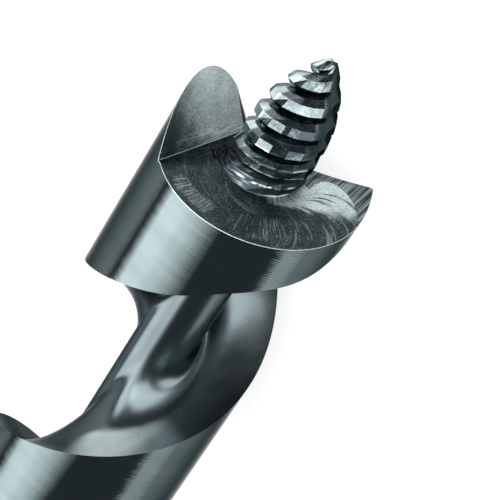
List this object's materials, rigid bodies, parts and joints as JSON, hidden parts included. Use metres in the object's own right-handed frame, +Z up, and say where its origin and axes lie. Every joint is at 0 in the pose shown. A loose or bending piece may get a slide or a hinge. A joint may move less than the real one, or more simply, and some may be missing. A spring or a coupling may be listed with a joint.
{
  "type": "auger bit",
  "caption": "Wood auger bit with a hexagon shank, a deep single flute, one spur, one cutting lip and a two-start lead screw.",
  "frame": {"origin": "middle of the bit's box, on the surface that it lies on", "axes": "+X along the bit towards the lead screw's point, +Z up as the bit lies"},
  "size_m": [0.235, 0.02, 0.02],
  "materials": {
    "polished_steel": "dark polished tool steel with fine turned lines, ground faces on the head"
  },
  "bodies": {
    "root": {"auger_bit": "polished_steel"}
  },
  "joints": []
}
